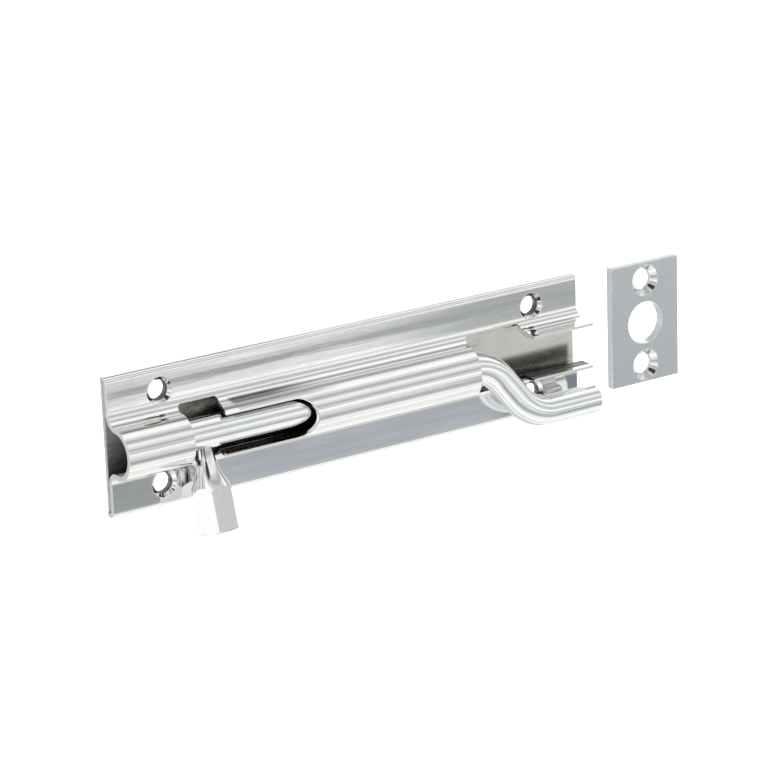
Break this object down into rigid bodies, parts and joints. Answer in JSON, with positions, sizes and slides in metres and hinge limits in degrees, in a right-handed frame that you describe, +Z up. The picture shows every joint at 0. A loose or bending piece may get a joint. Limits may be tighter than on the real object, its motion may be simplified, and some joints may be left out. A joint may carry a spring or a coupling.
{
  "type": "necked barrel bolt",
  "caption": "Surface-mounted necked barrel bolt: a cranked round shoot slides and turns in a pressed casing, with a flat keep for the frame.",
  "frame": {"origin": "centre of the bolt's flat back, on the face of the door", "axes": "+X along the shoot towards its tip, -Y out from the door towards the user, +Z up across the plate's short side"},
  "size_m": [0.1257, 0.0126, 0.0306],
  "materials": {
    "casing": "polished plate on pressed sheet, with fine streaks along its length",
    "back_plate": "thinly plated, duller than the casing",
    "friction_spring": "plain spring strip",
    "shoot": "polished plate on drawn rod",
    "knob": "polished plate on turned hexagon bar",
    "strike_plate": "satin plate"
  },
  "bodies": {
    "body": {"casing": "casing", "back_plate": "back_plate", "strike_plate": "strike_plate"},
    "spring": {"friction_spring": "friction_spring"},
    "shoot": {"shoot": "shoot", "knob": "knob"}
  },
  "joints": [
    {"name": "shoot_slide", "type": "slide", "parent": "body", "child": "spring", "axis": [1, 0, 0], "range_m": [0, 0.0015]},
    {"name": "shoot_turn", "type": "hinge", "parent": "spring", "child": "shoot", "pos_m": [0, -0.0044, 0], "axis": [-1, 0, 0], "range_deg": [0, 148]}
  ]
}
